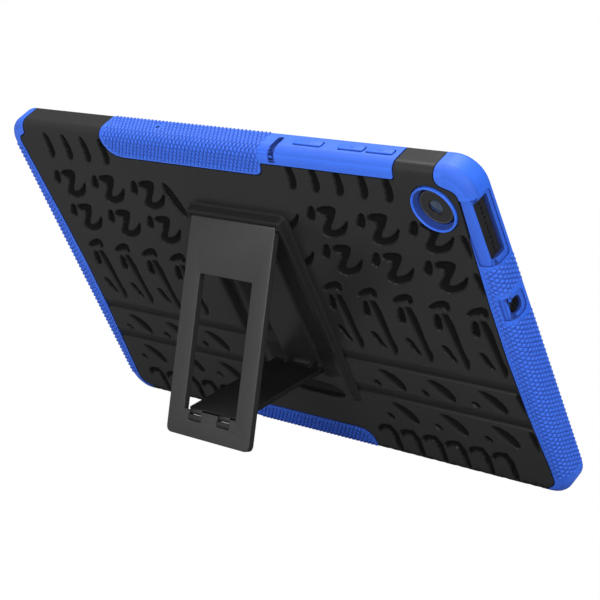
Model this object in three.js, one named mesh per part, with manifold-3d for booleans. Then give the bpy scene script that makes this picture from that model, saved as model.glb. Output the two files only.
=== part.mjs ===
// Two-layer case for a 10-inch tablet: a soft tray with a hard back shell and a folding stand.
// Drawn in the case's own directions: u along the long side, v up the short side, w out of the back,
// with w = 0 on the back face. The whole object is then leaned back onto its stand.
import * as THREE from "three";
import { mergeVertices } from "three/addons/utils/BufferGeometryUtils.js";
import Module from "manifold-3d";

const wasm = await Module();
wasm.setup();

// Driving dimensions, in millimetres and degrees.
const lean = 39.5; // back tilt of the case from the vertical, and the stand's opening angle
const caseSize = { halfU: 127, halfV: 78.3, depth: 12.5, corner: 11, backRound: 4.5, frontRound: 1.5 };
const tablet = { halfU: 122.75, halfV: 74.75, corner: 7.5, floor: -3.3, lip: -11.3, lipWidth: 3 };
const bed = { halfU: 118, halfV: 70, corner: 4, top: -3.7 };
const shellThickness = 1.6;
const gap = 0.3;
const treadDepth = 0.8;
const camera = { u: 108, v: 60.8, ringRadius: 9.75, rimRadius: 8.9, throatRadius: 7.6, rimHeight: 0.4 };
const stand = { centre: 2.3, halfWidth: 23.6, thickness: 3, pivotV: 42.5, pivotW: 3.4 };
const frameRail = { inner: 23.95, outer: 26.2, top: 48.2, bottom: -48.6, topHeight: 5, bottomHeight: 1.6 };
const legWindow = { halfWidth: 14.75, top: 22.4, bottom: 79.4 };
const strut = { halfWidth: 13.6, thickness: 2.2, footV: -33.5, footW: 2.6, tipReach: 78.6, tipRadius: 1.2 };
const hook = { offset: 8.05, halfWidth: 3.05, slotHalfWidth: 3.4, slotBottom: 82.4 };
const ear = { offset: 7, halfWidth: 1.5, radius: 1.3 };
const legPinRadius = 0.8;
const strutPinRadius = 0.6;
const runningGap = 0.05;
const button = { low: -9, high: -6, inner: 76.2, proud: 0.6 };
const buttonSpans = {
  power_button: [42.5, 56.5],
  volume_up_button: [65, 77],
  volume_down_button: [78.6, 91],
};

const blueRubber = { color: 0x2b66dc, roughness: 0.55, metalness: 0 };
const blackPlastic = { color: 0x2c2c2c, roughness: 0.5, metalness: 0 };
const greyPlastic = { color: 0x454545, roughness: 0.45, metalness: 0 };
const steel = { color: 0xb0b0b4, roughness: 0.3, metalness: 1 };

const degrees = Math.PI / 180;
const tall = 30; // reach of a cutting prism past the body
const leanCos = Math.cos(lean * degrees);
const leanSin = Math.sin(lean * degrees);

// Height of the case's centre over the floor, and the leg that reaches down to it from the hinge.
const { halfV: caseHalfV, backRound: edgeRound } = caseSize;
const restHeight = (caseHalfV - edgeRound) * leanCos + edgeRound * (1 - leanSin);
const legLength = restHeight + stand.pivotV * leanCos - stand.pivotW * leanSin;

// Rounds off the corners of an outline: a corner is [x, y] or [x, y, length of each side used up].
function rounded(corners, steps = 4) {
  const points = [];
  corners.forEach(([x, y, reach = 0], i) => {
    const here = new THREE.Vector2(x, y);
    if (!reach) {
      points.push(here);
      return;
    }
    const [beforeX, beforeY] = corners[(i + corners.length - 1) % corners.length];
    const [afterX, afterY] = corners[(i + 1) % corners.length];
    const start = new THREE.Vector2(beforeX - x, beforeY - y).setLength(reach).add(here);
    const end = new THREE.Vector2(afterX - x, afterY - y).setLength(reach).add(here);
    points.push(...new THREE.QuadraticBezierCurve(start, here, end).getPoints(steps));
  });
  return points;
}

// Moves every side of an outline outwards by the same distance.
function widened(points, distance) {
  const way = THREE.ShapeUtils.isClockWise(points) ? -1 : 1;
  return points.map((point, i) => {
    const before = points[(i + points.length - 1) % points.length];
    const after = points[(i + 1) % points.length];
    const sideIn = point.clone().sub(before).normalize();
    const sideOut = after.clone().sub(point).normalize();
    const normal = new THREE.Vector2(sideIn.y + sideOut.y, -sideIn.x - sideOut.x).normalize();
    const stretch = way / (normal.x * sideIn.y - normal.y * sideIn.x);
    return point.clone().addScaledVector(normal, distance * stretch);
  });
}

function solid(geometry) {
  const bare = geometry.clone();
  bare.deleteAttribute("normal");
  bare.deleteAttribute("uv");
  const merged = mergeVertices(bare, 1e-4);
  const vertProperties = merged.attributes.position.array;
  const triVerts = new Uint32Array(merged.index.array);
  return new wasm.Manifold(new wasm.Mesh({ numProp: 3, vertProperties, triVerts }));
}

function extruded(points, length) {
  return new THREE.ExtrudeGeometry(new THREE.Shape(points), { depth: length, bevelEnabled: false });
}

const alongU = new THREE.Matrix4().makeBasis(
  new THREE.Vector3(0, 1, 0),
  new THREE.Vector3(0, 0, 1),
  new THREE.Vector3(1, 0, 0),
);
const alongV = new THREE.Matrix4().makeBasis(
  new THREE.Vector3(1, 0, 0),
  new THREE.Vector3(0, 0, 1),
  new THREE.Vector3(0, -1, 0),
);

function prismW(points, low, high) {
  return solid(extruded(points, high - low).translate(0, 0, low));
}

function prismU(points, low, high) {
  return solid(extruded(points, high - low).applyMatrix4(alongU).translate(low, 0, 0));
}

function prismV(points, low, high) {
  return solid(extruded(points, high - low).applyMatrix4(alongV).translate(0, high, 0));
}

function rectangle(lowX, highX, lowY, highY, reach = 0) {
  const corners = [
    [lowX, lowY, reach],
    [highX, lowY, reach],
    [highX, highY, reach],
    [lowX, highY, reach],
  ];
  return rounded(corners);
}

// A rod along u, centred on (v, w).
function rodU(radius, low, high, v, w, segments = 24) {
  const rod = new THREE.CylinderGeometry(radius, radius, high - low, segments);
  return solid(rod.rotateZ(-90 * degrees).translate((low + high) / 2, v, w));
}

// A disc or cone along w, centred on (u, v).
function discW(lowRadius, highRadius, low, high, u, v, segments = 40) {
  const disc = new THREE.CylinderGeometry(highRadius, lowRadius, high - low, segments);
  return solid(disc.rotateX(90 * degrees).translate(u, v, (low + high) / 2));
}

// A rounded rectangle stacked up in layers: each layer is [inset from the outline, w].
function stacked(halfU, halfV, corner, layers, cornerSteps = 8) {
  const positions = [];
  const index = [];
  for (const [inset, w] of layers) {
    const radius = Math.max(corner - inset, 0.5);
    for (let quarter = 0; quarter < 4; quarter++) {
      const signU = quarter === 0 || quarter === 3 ? 1 : -1;
      const signV = quarter < 2 ? 1 : -1;
      for (let step = 0; step <= cornerSteps; step++) {
        const angle = (quarter + step / cornerSteps) * 90 * degrees;
        const u = signU * (halfU - inset - radius) + radius * Math.cos(angle);
        const v = signV * (halfV - inset - radius) + radius * Math.sin(angle);
        positions.push(u, v, w);
      }
    }
  }
  const ring = 4 * (cornerSteps + 1);
  const top = ring * (layers.length - 1);
  const bottomCentre = positions.length / 3;
  positions.push(0, 0, layers[0][1], 0, 0, layers.at(-1)[1]);
  for (let i = 0; i < ring; i++) {
    const next = (i + 1) % ring;
    index.push(bottomCentre, next, i, bottomCentre + 1, top + i, top + next);
    for (let layer = 0; layer < top; layer += ring) {
      index.push(layer + i, layer + next, layer + ring + next);
      index.push(layer + i, layer + ring + next, layer + ring + i);
    }
  }
  const geometry = new THREE.BufferGeometry();
  geometry.setAttribute("position", new THREE.Float32BufferAttribute(positions, 3));
  geometry.setIndex(index);
  return solid(geometry);
}

// The outside of the closed case, shrunk on every side but the front by the inset.
function caseBody(inset = 0) {
  const { halfU, halfV, depth, corner, backRound, frontRound } = caseSize;
  const layers = [];
  const front = Math.max(frontRound - inset, 0);
  for (let step = 0; front && step < 3; step++) {
    const angle = step * 30 * degrees;
    layers.push([inset + front * (1 - Math.sin(angle)), front * (1 - Math.cos(angle)) - depth]);
  }
  layers.push([inset, front - depth]);
  const back = backRound - inset;
  for (let step = 0; step <= 5; step++) {
    const angle = step * 18 * degrees;
    layers.push([inset + back * (1 - Math.cos(angle)), back * (Math.sin(angle) - 1) - inset]);
  }
  return stacked(halfU, halfV, corner, layers);
}

// Border between the black back shell and the blue tray, as seen from behind. Where the outline
// runs out to the far level, the shell wraps over the top or the bottom wall.
const far = caseSize.halfV + 12;
const border = rounded([
  [115, -far], [115, -75.5, 1], [120.4, -71.5, 3], [120.2, -62], [118.4, -36], [117.7, -8],
  [118.2, 18], [119.6, 45], [120.9, 69.3, 3.2], [112.6, 71.9, 2.6], [112.5, far],
  [94, far], [94, 72, 2], [27.3, 72, 1], [25.8, 66, 4], [-64.3, 66, 10], [-64.5, far],
  [-115.5, far], [-114.9, 72.8, 1.8], [-120.6, 70.2, 2.6], [-118.2, 30], [-117.1, 0],
  [-117.6, -25], [-119, -50], [-120.2, -71.5, 3], [-113.3, -74.8, 1.5], [-113, -far],
  [-43.5, -far], [-43.2, -66.5, 8], [28.3, -66.5, 8], [28.6, -far],
]);

// The tyre-like tread: each mark's outline is that of its first copy to the right of the stand.
const longPitch = 25.2;
const tallPitch = 17.85;
const ribPitch = 11.9;
const comma = [[41.2, 47.4], [43.6, 46.4], [46, 49.4], [46.8, 53.8], [44.6, 53.4], [42.4, 50]];
const hookMark = [
  [47.8, 50.9], [49.3, 54], [58.3, 55.2], [57, 51.6], [50.4, 43.3], [54.2, 43.3], [58, 45.2],
  [62, 48.8], [59, 43.2], [54.6, 40.7], [49.4, 39.3], [45.6, 41.2], [53.8, 50.6],
];
const lowerHook = hookMark.slice(4, 12);
const bracket = [[33.4, 10.8], [36.8, 14.6], [44.8, 17.2], [44.4, 12.4], [42, 11.6], [41.8, 13.6]];
const slot = [[33.2, 1], [35.6, 9], [38.2, 9], [36.8, 1]];
const channel = [
  [38.6, 8.6], [40, 10], [43.2, 9.6], [43.4, -10], [44.8, -12.6], [43.2, -17], [40.2, -18.2],
  [39.4, -15], [36.6, -14.2], [33.2, -7.6], [35.6, -7.4], [38, -12.4],
];
const leaf = [[46, -28.8], [49.4, -27.8], [55.8, -30.4], [58.6, -35], [56.8, -37.8], [50, -33.4]];
const dot = [[41.4, -35.6], [43.4, -34.6], [45.2, -36.6], [43.4, -37.8]];
const topRib = [[40.6, 71], [43, 71], [43.4, 66], [41.6, 61.8], [38.2, 60.4], [39.8, 65]];
const footRib = [
  [32.4, -64.4], [35.2, -61.2], [42.9, -60.4], [42.7, -74], [40.4, -74], [40.2, -67],
  [38.8, -63.2], [35.8, -63.2], [33.2, -65.6],
];
const longOval = [[-37.6, 51.4], [-35.4, 54.6], [-31.4, 45.6], [-31, 37.8], [-33.4, 36.8], [-36.2, 43.6]];
const lowRow = 18.3; // drop from the upper row of hooks or leaves to the lower one

// Each entry: the mark, how far down it is copied, its pitch, and which copies to the right exist.
const tread = [
  [topRib, [0], ribPitch, [-12, -11, -10, -9, 0, 1, 2, 3, 4]],
  [comma, [0], longPitch, [-6, -5, -4, 0, 1, 2]],
  [comma, [lowRow], longPitch, [-6, -5, -4, -3, 0, 1, 2]],
  [hookMark, [0], longPitch, [-6, -5, -4, 0, 1]],
  [hookMark, [lowRow], longPitch, [-6, -5, -4, 0, 1, 2]],
  [lowerHook, [0], longPitch, [-1, 2]],
  [lowerHook, [lowRow], longPitch, [-1]],
  [bracket, [0], tallPitch, [-8, -7, -6, -5, 0, 1, 2, 3, 4]],
  [slot, [0], tallPitch, [-8, -7, -6, -5, 0, 1, 2, 3, 4]],
  [channel, [0], tallPitch, [-8, -7, -6, -5, 0, 1, 2, 3, 4]],
  [leaf, [0, lowRow], longPitch, [-6, -5, -4, 0, 1, 2]],
  [dot, [0, lowRow], longPitch, [-6, -5, -4, 0, 1, 2]],
  [footRib, [0], ribPitch, [-12, -11, -10, -9, -8, 0, 1, 2, 3, 4, 5]],
  [longOval, [0], longPitch, [0]],
];

function treadCutters() {
  const cutters = [];
  for (const [mark, drops, pitch, copies] of tread)
    for (const drop of drops)
      for (const copy of copies) {
        const points = mark.map(([u, v]) => new THREE.Vector2(u + copy * pitch, v - drop));
        cutters.push(prismW(points, -treadDepth, 2));
      }
  return cutters;
}

// Two long shallow valleys run across the whole back.
const valleys = [
  [[-20.6, 0.2], [-20.6, 0], [-23.6, -0.7], [-26.8, 0], [-26.8, 0.2]],
  [[-38.8, 0.2], [-38.8, 0], [-41.8, -0.7], [-45, 0], [-45, 0.2]],
].map((corners) => prismU(rounded(corners), -caseSize.halfU, caseSize.halfU));

// Raised frame round the folded stand: two tapering rails, a bar over the hinge and a plain floor.
function standFrame() {
  const { inner, outer, top, bottom, topHeight, bottomHeight } = frameRail;
  const rooted = -shellThickness / 2;
  const side = rounded([
    [top + 1.2, rooted], [top, topHeight, 0.5], [bottom, bottomHeight, 0.5], [bottom - 1, rooted],
  ]);
  const bar = rounded([
    [top + 1.2, rooted], [top, topHeight, 0.5], [top - 3.6, topHeight, 0.3], [top - 3.6, rooted],
  ]);
  const left = stand.centre - outer;
  const right = stand.centre + outer;
  const floor = rectangle(left, right, bottom - 1, top + 1.2);
  let frame = prismW(floor, rooted - 0.2, 0).add(prismU(bar, left, right));
  frame = frame.add(prismU(side, left, left + outer - inner));
  frame = frame.add(prismU(side, right - outer + inner, right));
  const thumb = rounded([[-16, -48.6, 2.4], [20.6, -48.6, 2.4], [17, -43, 2.4], [-12.4, -43, 2.4]]);
  frame = frame.subtract(prismW(thumb, -treadDepth, 1));
  const pinHole = [legPinRadius + runningGap, stand.centre - 25, stand.centre + 25];
  frame = frame.subtract(rodU(...pinHole, stand.pivotV, stand.pivotW));
  for (const way of [-1, 1]) {
    const u = stand.centre + way * ear.offset;
    const shape = rounded([
      [strut.footV - ear.radius, rooted],
      [strut.footV + ear.radius, rooted],
      [strut.footV + ear.radius, strut.footW + ear.radius, ear.radius - 0.1],
      [strut.footV - ear.radius, strut.footW + ear.radius, ear.radius - 0.1],
    ]);
    frame = frame.add(prismU(shape, u - ear.halfWidth, u + ear.halfWidth));
  }
  const bore = [strutPinRadius + runningGap, stand.centre - 14, stand.centre + 14];
  return frame.subtract(rodU(...bore, strut.footV, strut.footW));
}

function outerShell() {
  const zone = prismW(widened(border, -gap / 2), 0.3 - caseSize.depth, 2);
  let shell = caseBody().intersect(zone).subtract(caseBody(shellThickness));
  for (const cutter of [...treadCutters(), ...valleys]) shell = shell.subtract(cutter);
  const clear = camera.ringRadius + gap;
  shell = shell.subtract(discW(clear, clear, -3, 2, camera.u, camera.v));
  return shell.add(standFrame());
}

// Groove cut to an even depth into the case's rounded outside, within the given box.
function surfaceGroove(box, depth) {
  return box.intersect(caseBody().subtract(caseBody(depth)));
}

function innerSleeve() {
  const wrapped = prismW(widened(border, gap / 2), -tall, 2);
  let sleeve = caseBody().subtract(wrapped.subtract(caseBody(shellThickness + gap)));

  const { halfU, halfV, corner, floor, lip, lipWidth } = tablet;
  const cavity = stacked(halfU, halfV, corner, [[0, lip], [0, floor]]);
  const raisedBed = stacked(bed.halfU, bed.halfV, bed.corner, [[0, bed.top], [0, floor + 1]]);
  const mouth = stacked(halfU - lipWidth, halfV - lipWidth, corner - 2, [[0, -tall], [0, lip + 1]]);
  sleeve = sleeve.subtract(cavity.subtract(raisedBed)).subtract(mouth);

  const { u, v, ringRadius, rimRadius, throatRadius, rimHeight } = camera;
  sleeve = sleeve.add(discW(ringRadius, ringRadius, -3, rimHeight, u, v));
  sleeve = sleeve.subtract(discW(throatRadius, rimRadius, floor - 1, rimHeight + 0.05, u, v));

  for (const [low, high] of Object.values(buttonSpans)) {
    const opening = rectangle(low - gap, high + gap, button.low - gap, button.high + gap, 1.2);
    sleeve = sleeve.subtract(prismV(opening, button.inner - gap - 0.2, far));
  }
  const microphone = new THREE.CylinderGeometry(0.9, 0.9, 12, 16).translate(-33.5, halfV + 4, -7.5);
  sleeve = sleeve.subtract(solid(microphone));
  const coverSlot = prismV(rectangle(32.7, 35.9, -9.5, 3, 1.2), 72.9, far);
  sleeve = sleeve.subtract(surfaceGroove(coverSlot, 1.5));

  const right = [halfU - 2, caseSize.halfU + 2];
  const left = [-right[1], -right[0]];
  sleeve = sleeve.subtract(prismU(rectangle(39.5, 64.5, -8.6, -1.6, 0.8), ...right));
  sleeve = sleeve.subtract(surfaceGroove(prismU(rectangle(37, 66, -10.2, 2, 2), 120, 130), 0.6));
  const jack = rectangle(13.8, 20.2, -8, -1.6, 2.6);
  sleeve = sleeve.subtract(prismU(jack, ...right));
  sleeve = sleeve.subtract(surfaceGroove(prismU(rectangle(12, 22, -10, 2, 3), 123, 130), 0.6));
  sleeve = sleeve.subtract(prismU(rectangle(-6.5, 9, -10.4, -4.2, 2), ...left));
  return sleeve;
}

// The leg is drawn lying shut, hinge at its origin, and then swung open.
function standLeg() {
  const half = stand.thickness / 2;
  const { halfWidth } = stand;
  const outline = rounded([
    [-halfWidth, 0], [-halfWidth, -legLength, 3], [halfWidth, -legLength, 3], [halfWidth, 0],
  ]);
  let leg = prismW(outline, -half, half).add(rodU(half, -halfWidth, halfWidth, 0, 0));
  const { top, bottom } = legWindow;
  const side = legWindow.halfWidth;
  leg = leg.subtract(prismW(rectangle(-side, side, -bottom, -top, 1), -tall, tall));
  leg = leg.subtract(prismW(rectangle(-side, side, -top - 2, -top + 1.6), -tall, 0.4));
  for (const way of [-1, 1]) {
    const middle = way * hook.offset;
    const slotSides = [middle - hook.slotHalfWidth, middle + hook.slotHalfWidth];
    leg = leg.subtract(prismW(rectangle(...slotSides, -hook.slotBottom, -bottom + 2), -tall, tall));
  }
  return leg.subtract(rodU(legPinRadius + runningGap, -tall, tall, 0, 0));
}

const tipV = stand.pivotV - strut.tipReach * leanCos;
const tipW = stand.pivotW + strut.tipReach * leanSin;
const strutLength = Math.hypot(tipV - strut.footV, tipW - strut.footW);
const strutAngle = Math.atan2(tipW - strut.footW, tipV - strut.footV);

// The strut is drawn lying flat, hinge at its origin and hooks towards +v, and then raised.
function standStrut() {
  const half = strut.thickness / 2;
  const { halfWidth, tipRadius } = strut;
  const plate = rectangle(-halfWidth, halfWidth, 0, strutLength - 2.5);
  let body = prismW(plate, -half, half).add(rodU(ear.radius, -halfWidth, halfWidth, 0, 0));
  for (const way of [-1, 1]) {
    const low = way * hook.offset - hook.halfWidth;
    const high = way * hook.offset + hook.halfWidth;
    body = body.add(prismW(rectangle(low, high, strutLength - 4, strutLength), -half, half));
    body = body.add(rodU(tipRadius, low, high, strutLength, 0));
    const space = ear.halfWidth + gap;
    const sides = [way * ear.offset - space, way * ear.offset + space];
    body = body.subtract(prismW(rectangle(...sides, -ear.radius - 1, ear.radius + 1), -tall, tall));
  }
  return body.subtract(rodU(strutPinRadius + runningGap, -tall, tall, 0, 0));
}

function pushButton([low, high]) {
  const outline = rectangle(low, high, button.low, button.high, 1);
  return prismV(outline, button.inner, caseSize.halfV + button.proud);
}

const root = new THREE.Group();
const leaning = new THREE.Group();
leaning.rotation.x = (90 + lean) * degrees;
root.add(leaning);

function place(name, body, look, turn = 0, u = 0, v = 0, w = 0) {
  const { vertProperties, triVerts } = body.getMesh();
  const geometry = new THREE.BufferGeometry();
  geometry.setAttribute("position", new THREE.BufferAttribute(vertProperties, 3));
  geometry.setIndex(new THREE.BufferAttribute(triVerts, 1));
  geometry.computeVertexNormals();
  const mesh = new THREE.Mesh(geometry, new THREE.MeshStandardMaterial(look));
  mesh.name = name;
  mesh.rotation.x = turn;
  mesh.position.set(u, v, w);
  leaning.add(mesh);
}

place("inner_sleeve", innerSleeve(), blueRubber);
place("outer_shell", outerShell(), blackPlastic);
for (const [name, span] of Object.entries(buttonSpans)) place(name, pushButton(span), blueRubber);

const { centre, pivotV, pivotW } = stand;
place("stand_leg", standLeg(), greyPlastic, -lean * degrees, centre, pivotV, pivotW);
place("stand_strut", standStrut(), blackPlastic, strutAngle, centre, strut.footV, strut.footW);
const legPin = rodU(legPinRadius, -24.8, 24.8, 0, 0);
place("leg_hinge_pin", legPin, steel, 0, centre, pivotV, pivotW);
const strutPin = rodU(strutPinRadius, -13.2, 13.2, 0, 0);
place("strut_hinge_pin", strutPin, steel, 0, centre, strut.footV, strut.footW);

// The origin is the middle of the whole object's base.
const extent = new THREE.Box3().setFromObject(root, true);
const middle = extent.getCenter(new THREE.Vector3());
leaning.position.set(-middle.x, -middle.y, -extent.min.z);

export default root;
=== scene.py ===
import math

import bmesh
import bpy
import numpy as np
from mathutils import Matrix, Vector
from mathutils.geometry import delaunay_2d_cdt


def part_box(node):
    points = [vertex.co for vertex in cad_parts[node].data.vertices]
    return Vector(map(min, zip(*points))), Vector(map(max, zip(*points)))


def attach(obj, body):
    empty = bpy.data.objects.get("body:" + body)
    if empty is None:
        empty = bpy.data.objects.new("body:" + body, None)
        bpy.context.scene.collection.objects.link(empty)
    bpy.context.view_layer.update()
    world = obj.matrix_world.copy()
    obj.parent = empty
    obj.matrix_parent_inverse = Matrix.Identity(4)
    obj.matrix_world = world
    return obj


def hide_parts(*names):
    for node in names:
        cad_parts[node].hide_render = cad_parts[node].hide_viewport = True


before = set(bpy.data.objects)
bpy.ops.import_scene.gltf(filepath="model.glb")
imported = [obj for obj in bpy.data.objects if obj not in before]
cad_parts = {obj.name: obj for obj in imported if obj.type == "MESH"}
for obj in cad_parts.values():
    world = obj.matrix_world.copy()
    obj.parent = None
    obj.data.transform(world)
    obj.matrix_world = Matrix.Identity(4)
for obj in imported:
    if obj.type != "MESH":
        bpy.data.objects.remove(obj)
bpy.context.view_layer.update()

# Sizes are in millimetres in the case's own directions: u along the long side, v up the short
# side, w out of the back. They turn into metres in the row frame when a mesh is made.
caseBody = {"halfU": 127.0, "halfV": 78.3, "depth": 12.5, "corner": 11.0, "backRound": 4.5, "lean": 39.5}
leanAngle = math.radians(caseBody["lean"])
upSlope = np.array([0, -math.sin(leanAngle), math.cos(leanAngle)])
outOfBack = np.array([0, -math.cos(leanAngle), -math.sin(leanAngle)])
caseAxes = np.array([[1, 0, 0], upSlope, outOfBack])
standPlace = {"centre": 2.3, "pivotV": 42.5, "pivotW": 3.4, "footV": -33.5, "footW": 2.6, "tipReach": 78.6}
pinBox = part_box("leg_hinge_pin")
pinMiddle = np.array((pinBox[0] + pinBox[1]) / 2) * 1000
hingePlace = np.array([standPlace["centre"], standPlace["pivotV"], standPlace["pivotW"]])
caseCentre = pinMiddle - hingePlace @ caseAxes


def toRow(points):
    return (np.asarray(points, float) @ caseAxes + caseCentre) / 1000


def toCase(points):
    return (np.asarray(points, float) * 1000 - caseCentre) @ caseAxes.T


# A corner given a third number is rounded, that far back from its point.
def rounded(corners, steps=4):
    points = []
    for i, corner in enumerate(corners):
        here = np.array(corner[:2], float)
        reach = corner[2] if len(corner) > 2 else 0
        if not reach:
            points.append(here)
            continue
        before = np.array(corners[i - 1][:2], float) - here
        after = np.array(corners[(i + 1) % len(corners)][:2], float) - here
        start = here + before / np.linalg.norm(before) * reach
        end = here + after / np.linalg.norm(after) * reach
        for t in np.linspace(0, 1, steps + 1):
            points.append((1 - t) ** 2 * start + 2 * t * (1 - t) * here + t * t * end)
    return np.array(points)


def signedArea(points):
    x, y = points[:, 0], points[:, 1]
    return 0.5 * np.sum(x * np.roll(y, -1) - np.roll(x, -1) * y)


def widened(points, distance):
    way = 1 if signedArea(points) > 0 else -1
    sideIn = points - np.roll(points, 1, 0)
    sideOut = np.roll(points, -1, 0) - points
    sideIn /= np.linalg.norm(sideIn, axis=1)[:, None]
    sideOut /= np.linalg.norm(sideOut, axis=1)[:, None]
    normal = np.stack([sideIn[:, 1] + sideOut[:, 1], -sideIn[:, 0] - sideOut[:, 0]], 1)
    normal /= np.linalg.norm(normal, axis=1)[:, None]
    stretch = way / (normal[:, 0] * sideIn[:, 1] - normal[:, 1] * sideIn[:, 0])
    return points + normal * (distance * stretch)[:, None]


def subdivided(points, longest):
    out = []
    for a, b in zip(points, np.roll(points, -1, 0)):
        count = max(1, int(math.ceil(np.linalg.norm(b - a) / longest)))
        out += [a + (b - a) * i / count for i in range(count)]
    return np.array(out)


def smoothed(points, rounds=2):
    for _ in range(rounds):  # cuts every corner, so a rough outline turns into a soft one
        after = np.roll(points, -1, 0)
        points = np.stack([points * 0.75 + after * 0.25, points * 0.25 + after * 0.75], 1).reshape(-1, 2)
    return points


def insideOutline(u, v, points):
    inside = np.zeros(len(u), bool)
    for (ua, va), (ub, vb) in zip(points, np.roll(points, -1, 0)):
        if va == vb:
            continue
        crosses = (va > v) != (vb > v)
        inside ^= crosses & (u < (ub - ua) * (v - va) / (vb - va) + ua)
    return inside


def outlineDistance(u, v, points):
    nearest = np.full(len(u), 1e9)
    for a, b in zip(points, np.roll(points, -1, 0)):
        side = b - a
        share = np.clip(((u - a[0]) * side[0] + (v - a[1]) * side[1]) / max(side @ side, 1e-9), 0, 1)
        nearest = np.minimum(nearest, np.hypot(u - a[0] - share * side[0], v - a[1] - share * side[1]))
    return np.where(insideOutline(u, v, points), -nearest, nearest)


# How far each inner point is from the outline's far brink, going the given way.
def brinkReach(u, v, points, way):
    reach = np.full(len(u), 1e3)
    for spread in (-0.35, 0, 0.35):
        c, t = math.cos(spread), math.sin(spread)
        wayU, wayV = way[0] * c - way[1] * t, way[0] * t + way[1] * c
        for a, b in zip(points, np.roll(points, -1, 0)):
            side = b - a
            cross = wayU * side[1] - wayV * side[0]
            if abs(cross) < 1e-9:
                continue
            along = ((a[0] - u) * side[1] - (a[1] - v) * side[0]) / cross
            share = ((a[0] - u) * wayV - (a[1] - v) * wayU) / cross
            hit = (along > 0) & (share >= 0) & (share <= 1)
            reach = np.where(hit, np.minimum(reach, along), reach)
    return np.where(reach > 100, 0, reach)


def softStep(x):
    x = np.clip(x, 0, 1)
    return x * x * (3 - 2 * x)


# Painted shade for each point or face, from 0 to 1, mostly by how deep in a recess it is; the materials read it and
# darken the colour there.
def setPaintedShade(mesh, values, domain="POINT"):
    attribute = mesh.attributes.new("paintedShade", "FLOAT", domain)
    attribute.data.foreach_set("value", np.asarray(values, np.float32))


def makePiece(name, points, faces, normals=None, material=None, body="case", inRow=False):
    mesh = bpy.data.meshes.new(name)
    placed = np.asarray(points) if inRow else toRow(points)
    mesh.from_pydata(placed.tolist(), [], faces if isinstance(faces, list) else faces.tolist())
    mesh.validate()
    mesh.polygons.foreach_set("use_smooth", [True] * len(mesh.polygons))
    if normals is not None:
        turned = np.asarray(normals) @ caseAxes
        mesh.normals_split_custom_set_from_vertices(turned.tolist())
    piece = bpy.data.objects.new(name, mesh)
    bpy.context.scene.collection.objects.link(piece)
    if material:
        mesh.materials.append(material)
    if body:
        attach(piece, body)
    return piece


# Wraps a flat sheet over the long edges of the case: s runs up the back and down the wall.
def wrapped(u, s, height, flatHalf):
    radius = caseBody["backRound"]
    quarter = radius * math.pi / 2
    along = np.abs(s)
    angle = np.clip((along - flatHalf) / radius, 0, math.pi / 2)
    beyond = np.maximum(along - flatHalf - quarter, 0)
    v = np.minimum(along, flatHalf) + radius * np.sin(angle)
    w = -radius * (1 - np.cos(angle)) - beyond
    v = v + height * np.sin(angle)
    w = w + height * np.cos(angle)
    return np.stack([u, np.sign(s) * v, w], 1)


flatHalfV = caseBody["halfV"] - caseBody["backRound"]
flatHalfU = caseBody["halfU"] - caseBody["backRound"]


def overLongEdge(u, s, height):
    return wrapped(u, s, height, flatHalfV)


def overShortEdge(v, r, height):
    points = wrapped(v, r, height, flatHalfU)
    return points[:, [1, 0, 2]]


def socketGroup(name, inputs, outputs):
    group = bpy.data.node_groups.new(name, "ShaderNodeTree")
    for label, kind, value in inputs:
        made = group.interface.new_socket(name=label, in_out="INPUT", socket_type=kind)
        made.default_value = value
    for label, kind in outputs:
        group.interface.new_socket(name=label, in_out="OUTPUT", socket_type=kind)
    return group, group.nodes.new("NodeGroupInput"), group.nodes.new("NodeGroupOutput")


def mouldGrainGroup():
    group, given, out = socketGroup(
        "mouldGrain",
        [("Scale", "NodeSocketFloat", 900.0), ("Patches", "NodeSocketFloat", 60.0)],
        [("Height", "NodeSocketFloat"), ("Patchiness", "NodeSocketFloat")],
    )
    place = group.nodes.new("ShaderNodeTexCoord")
    fine = group.nodes.new("ShaderNodeTexVoronoi")
    fine.feature = "SMOOTH_F1"
    speck = group.nodes.new("ShaderNodeTexNoise")
    speck.inputs["Detail"].default_value = 4
    broad = group.nodes.new("ShaderNodeTexNoise")
    broad.inputs["Detail"].default_value = 5
    broad.inputs["Roughness"].default_value = 0.6
    both = group.nodes.new("ShaderNodeMath")
    both.operation = "ADD"
    link = group.links.new
    for node in (fine, speck, broad):
        link(place.outputs["Object"], node.inputs["Vector"])
    link(given.outputs["Scale"], fine.inputs["Scale"])
    link(given.outputs["Scale"], speck.inputs["Scale"])
    link(given.outputs["Patches"], broad.inputs["Scale"])
    link(fine.outputs["Distance"], both.inputs[0])
    link(speck.outputs["Fac"], both.inputs[1])
    link(both.outputs[0], out.inputs["Height"])
    link(broad.outputs["Fac"], out.inputs["Patchiness"])
    return group


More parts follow.
